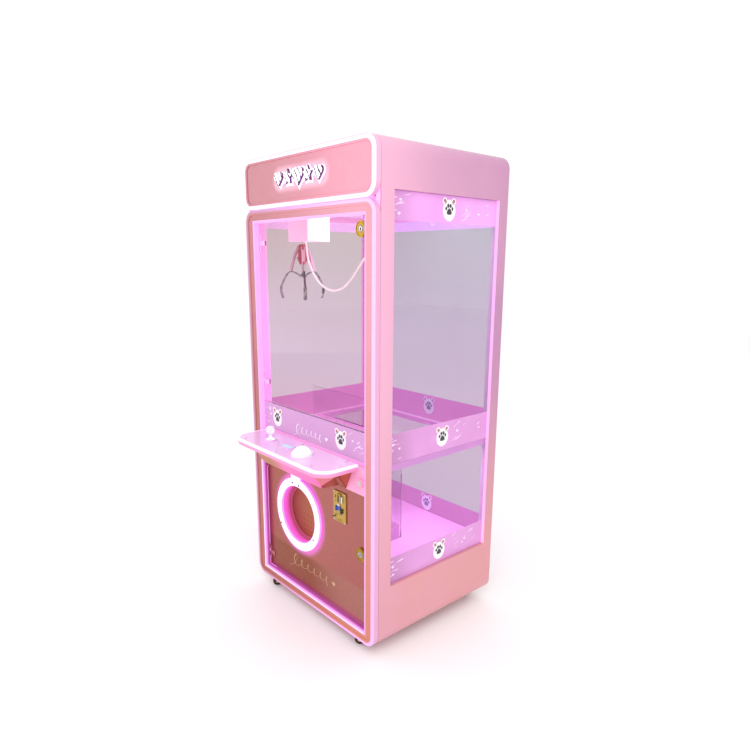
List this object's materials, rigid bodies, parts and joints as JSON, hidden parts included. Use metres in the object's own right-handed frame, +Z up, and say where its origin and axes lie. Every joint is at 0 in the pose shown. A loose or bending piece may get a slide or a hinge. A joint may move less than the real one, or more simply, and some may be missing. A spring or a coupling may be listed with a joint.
{
  "type": "claw crane machine",
  "caption": "Free-standing glass claw crane cabinet with lit edges, gantry claw, playfield, console shelf, prize chute and outlet door.",
  "frame": {"origin": "on the floor, under the middle of the whole box of the object", "axes": "+Z up; +Y towards the back, so the player stands at -Y; +X to the player's right"},
  "size_m": [0.84, 0.855, 1.9],
  "materials": {
    "pink_powder_coat": "satin powder coat, pink",
    "rose_band": "satin rose pink",
    "rose_satin": "satin rose",
    "rose_mirror_acrylic": "rose gold mirror acrylic",
    "edge_light_violet": "lit diffuser, pale violet",
    "edge_light_white": "lit diffuser, white",
    "mirror_silver": "mirror faced hearts and stars",
    "clear_glass": "clear tempered glass",
    "clear_acrylic": "clear acrylic",
    "brass_trim": "polished gold colour",
    "plug_steel": "turned steel",
    "zinc_steel": "yellow zinc",
    "black_wheel": "black nylon and rubber",
    "pink_tunnel": "pink, lit from the ring",
    "smoked_flap": "rose brown acrylic",
    "blue_button": "blue",
    "black_plastic": "black",
    "white_plastic": "white",
    "clear_knob": "clear crystal knob on a steel shaft",
    "bright_steel": "bright steel",
    "chrome_claw": "chrome",
    "raspberry_coat": "raspberry red lacquer",
    "pale_pink_links": "pale pink lacquer",
    "extruded_aluminium": "plain",
    "grey_steel": "grey"
  },
  "bodies": {
    "cabinet": {"left_side_panel": "pink_powder_coat", "right_side_panel": "pink_powder_coat", "roof_panel": "pink_powder_coat", "base_pan": "pink_powder_coat", "back_panel": "pink_powder_coat", "cabinet_posts": "pink_powder_coat", "playfield_deck": "pink_powder_coat", "chamber_floor": "pink_powder_coat", "console_box": "pink_powder_coat", "console_top": "pink_powder_coat", "front_frame": "rose_band", "marquee_panel": "rose_satin", "front_frame_lights": "edge_light_violet", "marquee_edge_light": "edge_light_white", "console_edge_light": "edge_light_white", "marquee_emblem": "mirror_silver", "window_glass": "clear_glass", "playfield_floor": "clear_acrylic", "prize_chute": "clear_acrylic", "frame_hinges_and_keepers": "zinc_steel", "power_inlet": "black_plastic", "joystick_base": "white_plastic", "button_bezel": "white_plastic", "gantry_rails": "extruded_aluminium", "control_electronics": "grey_steel", "cash_box": "grey_steel"},
    "glass_door": {"glass_door": "clear_glass", "glass_door_hardware": "brass_trim"},
    "glass_lock": {"glass_lock_plug": "plug_steel"},
    "service_door": {"service_door": "rose_mirror_acrylic", "service_door_hardware": "brass_trim", "prize_ring_light": "edge_light_white", "prize_tunnel": "pink_tunnel", "coin_plate": "brass_trim"},
    "service_lock": {"service_lock_plug": "plug_steel"},
    "prize_flap": {"prize_flap": "smoked_flap"},
    "reject_button": {"coin_reject_button": "blue_button"},
    "return_flap": {"coin_return_flap": "black_plastic"},
    "console_lock": {"console_lock_plug": "plug_steel"},
    "joystick_gimbal": {"joystick_gimbal": "bright_steel"},
    "joystick_stick": {"joystick_stick": "clear_knob"},
    "grab_button": {"grab_button": "white_plastic"},
    "bridge": {"bridge": "extruded_aluminium"},
    "carriage": {"carriage": "pink_powder_coat", "hoist_cable": "bright_steel", "carriage_lead": "white_plastic"},
    "claw_head": {"claw_housing": "raspberry_coat", "claw_links": "pale_pink_links"},
    "claw_plunger": {"claw_plunger": "bright_steel"},
    "claw_arm_1": {"claw_arm_1": "chrome_claw"},
    "claw_arm_2": {"claw_arm_2": "chrome_claw"},
    "claw_arm_3": {"claw_arm_3": "chrome_claw"},
    "caster_swivel_front_left": {"caster_fork_front_left": "zinc_steel"},
    "caster_roll_front_left": {"caster_wheel_front_left": "black_wheel"},
    "caster_swivel_front_right": {"caster_fork_front_right": "zinc_steel"},
    "caster_roll_front_right": {"caster_wheel_front_right": "black_wheel"},
    "caster_swivel_rear_left": {"caster_fork_rear_left": "zinc_steel"},
    "caster_roll_rear_left": {"caster_wheel_rear_left": "black_wheel"},
    "caster_swivel_rear_right": {"caster_fork_rear_right": "zinc_steel"},
    "caster_roll_rear_right": {"caster_wheel_rear_right": "black_wheel"}
  },
  "joints": [
    {"name": "glass_door_swing", "type": "hinge", "parent": "cabinet", "child": "glass_door", "pos_m": [-0.353, -0.2325, 1.272], "axis": [0, 0, -1], "range_deg": [0, 90]},
    {"name": "glass_lock_turn", "type": "hinge", "parent": "glass_door", "child": "glass_lock", "pos_m": [0.318, -0.2325, 1.606], "axis": [0, -1, 0], "range_deg": [0, 90]},
    {"name": "service_door_swing", "type": "hinge", "parent": "cabinet", "child": "service_door", "pos_m": [-0.353, -0.2325, 0.37], "axis": [0, 0, -1], "range_deg": [0, 90]},
    {"name": "service_lock_turn", "type": "hinge", "parent": "service_door", "child": "service_lock", "pos_m": [0.315, -0.2325, 0.4], "axis": [0, -1, 0], "range_deg": [0, 90]},
    {"name": "prize_flap_swing", "type": "hinge", "parent": "service_door", "child": "prize_flap", "pos_m": [-0.105, -0.194, 0.53], "axis": [1, 0, 0], "range_deg": [0, 60]},
    {"name": "reject_button_press", "type": "slide", "parent": "service_door", "child": "reject_button", "axis": [0, 1, 0], "range_m": [0, 0.003], "stiffness_N_per_m": 300, "springref_m": -0.002},
    {"name": "return_flap_swing", "type": "hinge", "parent": "service_door", "child": "return_flap", "pos_m": [0.184, -0.239, 0.521], "axis": [1, 0, 0], "range_deg": [0, 40]},
    {"name": "console_lock_turn", "type": "hinge", "parent": "cabinet", "child": "console_lock", "pos_m": [0.343, -0.2625, 0.705], "axis": [0, -1, 0], "range_deg": [0, 90]},
    {"name": "joystick_fore_aft", "type": "hinge", "parent": "cabinet", "child": "joystick_gimbal", "pos_m": [-0.155, -0.3375, 0.75], "axis": [1, 0, 0], "range_deg": [-13, 13], "stiffness_Nm_per_rad": 0.6},
    {"name": "joystick_side_to_side", "type": "hinge", "parent": "joystick_gimbal", "child": "joystick_stick", "pos_m": [-0.155, -0.3375, 0.75], "axis": [0, 1, 0], "range_deg": [-13, 13], "stiffness_Nm_per_rad": 0.6},
    {"name": "grab_button_press", "type": "slide", "parent": "cabinet", "child": "grab_button", "axis": [0, 0, -1], "range_m": [0, 0.004], "stiffness_N_per_m": 500, "springref_m": -0.005},
    {"name": "bridge_travel", "type": "slide", "parent": "cabinet", "child": "bridge", "axis": [0, 1, 0], "range_m": [0, 0.33]},
    {"name": "carriage_travel", "type": "slide", "parent": "bridge", "child": "carriage", "axis": [1, 0, 0], "range_m": [0, 0.53], "deforming": ["carriage_lead"]},
    {"name": "claw_hoist", "type": "slide", "parent": "carriage", "child": "claw_head", "axis": [0, 0, -1], "range_m": [0, 0.54], "deforming": ["hoist_cable"]},
    {"name": "claw_plunger_lift", "type": "slide", "parent": "claw_head", "child": "claw_plunger", "axis": [0, 0, 1], "range_m": [0, 0.032]},
    {"name": "claw_arm_1_swing", "type": "hinge", "parent": "claw_plunger", "child": "claw_arm_1", "pos_m": [-0.274, -0.0605, 1.438], "axis": [-1, 0, 0], "range_deg": [0, 37]},
    {"name": "claw_arm_2_swing", "type": "hinge", "parent": "claw_plunger", "child": "claw_arm_2", "pos_m": [-0.28612, -0.0815, 1.438], "axis": [0.5, -0.866, 0], "range_deg": [0, 37]},
    {"name": "claw_arm_3_swing", "type": "hinge", "parent": "claw_plunger", "child": "claw_arm_3", "pos_m": [-0.26188, -0.0815, 1.438], "axis": [0.5, 0.866, 0], "range_deg": [0, 37]},
    {"name": "caster_swivel_front_left", "type": "hinge", "parent": "cabinet", "child": "caster_swivel_front_left", "pos_m": [-0.306, -0.2145, 0.043], "axis": [0, 0, 1], "continuous": true},
    {"name": "caster_roll_front_left", "type": "hinge", "parent": "caster_swivel_front_left", "child": "caster_roll_front_left", "pos_m": [-0.31417, -0.23054, 0.02], "axis": [0.891, -0.454, 0], "continuous": true},
    {"name": "caster_swivel_front_right", "type": "hinge", "parent": "cabinet", "child": "caster_swivel_front_right", "pos_m": [0.306, -0.2145, 0.043], "axis": [0, 0, 1], "continuous": true},
    {"name": "caster_roll_front_right", "type": "hinge", "parent": "caster_swivel_front_right", "child": "caster_roll_front_right", "pos_m": [0.29182, -0.22558, 0.02], "axis": [0.6157, -0.788, 0], "continuous": true},
    {"name": "caster_swivel_rear_left", "type": "hinge", "parent": "cabinet", "child": "caster_swivel_rear_left", "pos_m": [-0.306, 0.3775, 0.043], "axis": [0, 0, 1], "continuous": true},
    {"name": "caster_roll_rear_left", "type": "hinge", "parent": "caster_swivel_rear_left", "child": "caster_roll_rear_left", "pos_m": [-0.297, 0.36191, 0.02], "axis": [0.866, 0.5, 0], "continuous": true},
    {"name": "caster_swivel_rear_right", "type": "hinge", "parent": "cabinet", "child": "caster_swivel_rear_right", "pos_m": [0.306, 0.3775, 0.043], "axis": [0, 0, 1], "continuous": true},
    {"name": "caster_roll_rear_right", "type": "hinge", "parent": "caster_swivel_rear_right", "child": "caster_roll_rear_right", "pos_m": [0.32257, 0.37047, 0.02], "axis": [0.3907, 0.9205, 0], "continuous": true}
  ],
  "couplings": [
    {"joint": "claw_arm_1_swing", "follows": "claw_plunger_lift", "rad_per_m": 20},
    {"joint": "claw_arm_2_swing", "follows": "claw_plunger_lift", "rad_per_m": 20},
    {"joint": "claw_arm_3_swing", "follows": "claw_plunger_lift", "rad_per_m": 20}
  ]
}
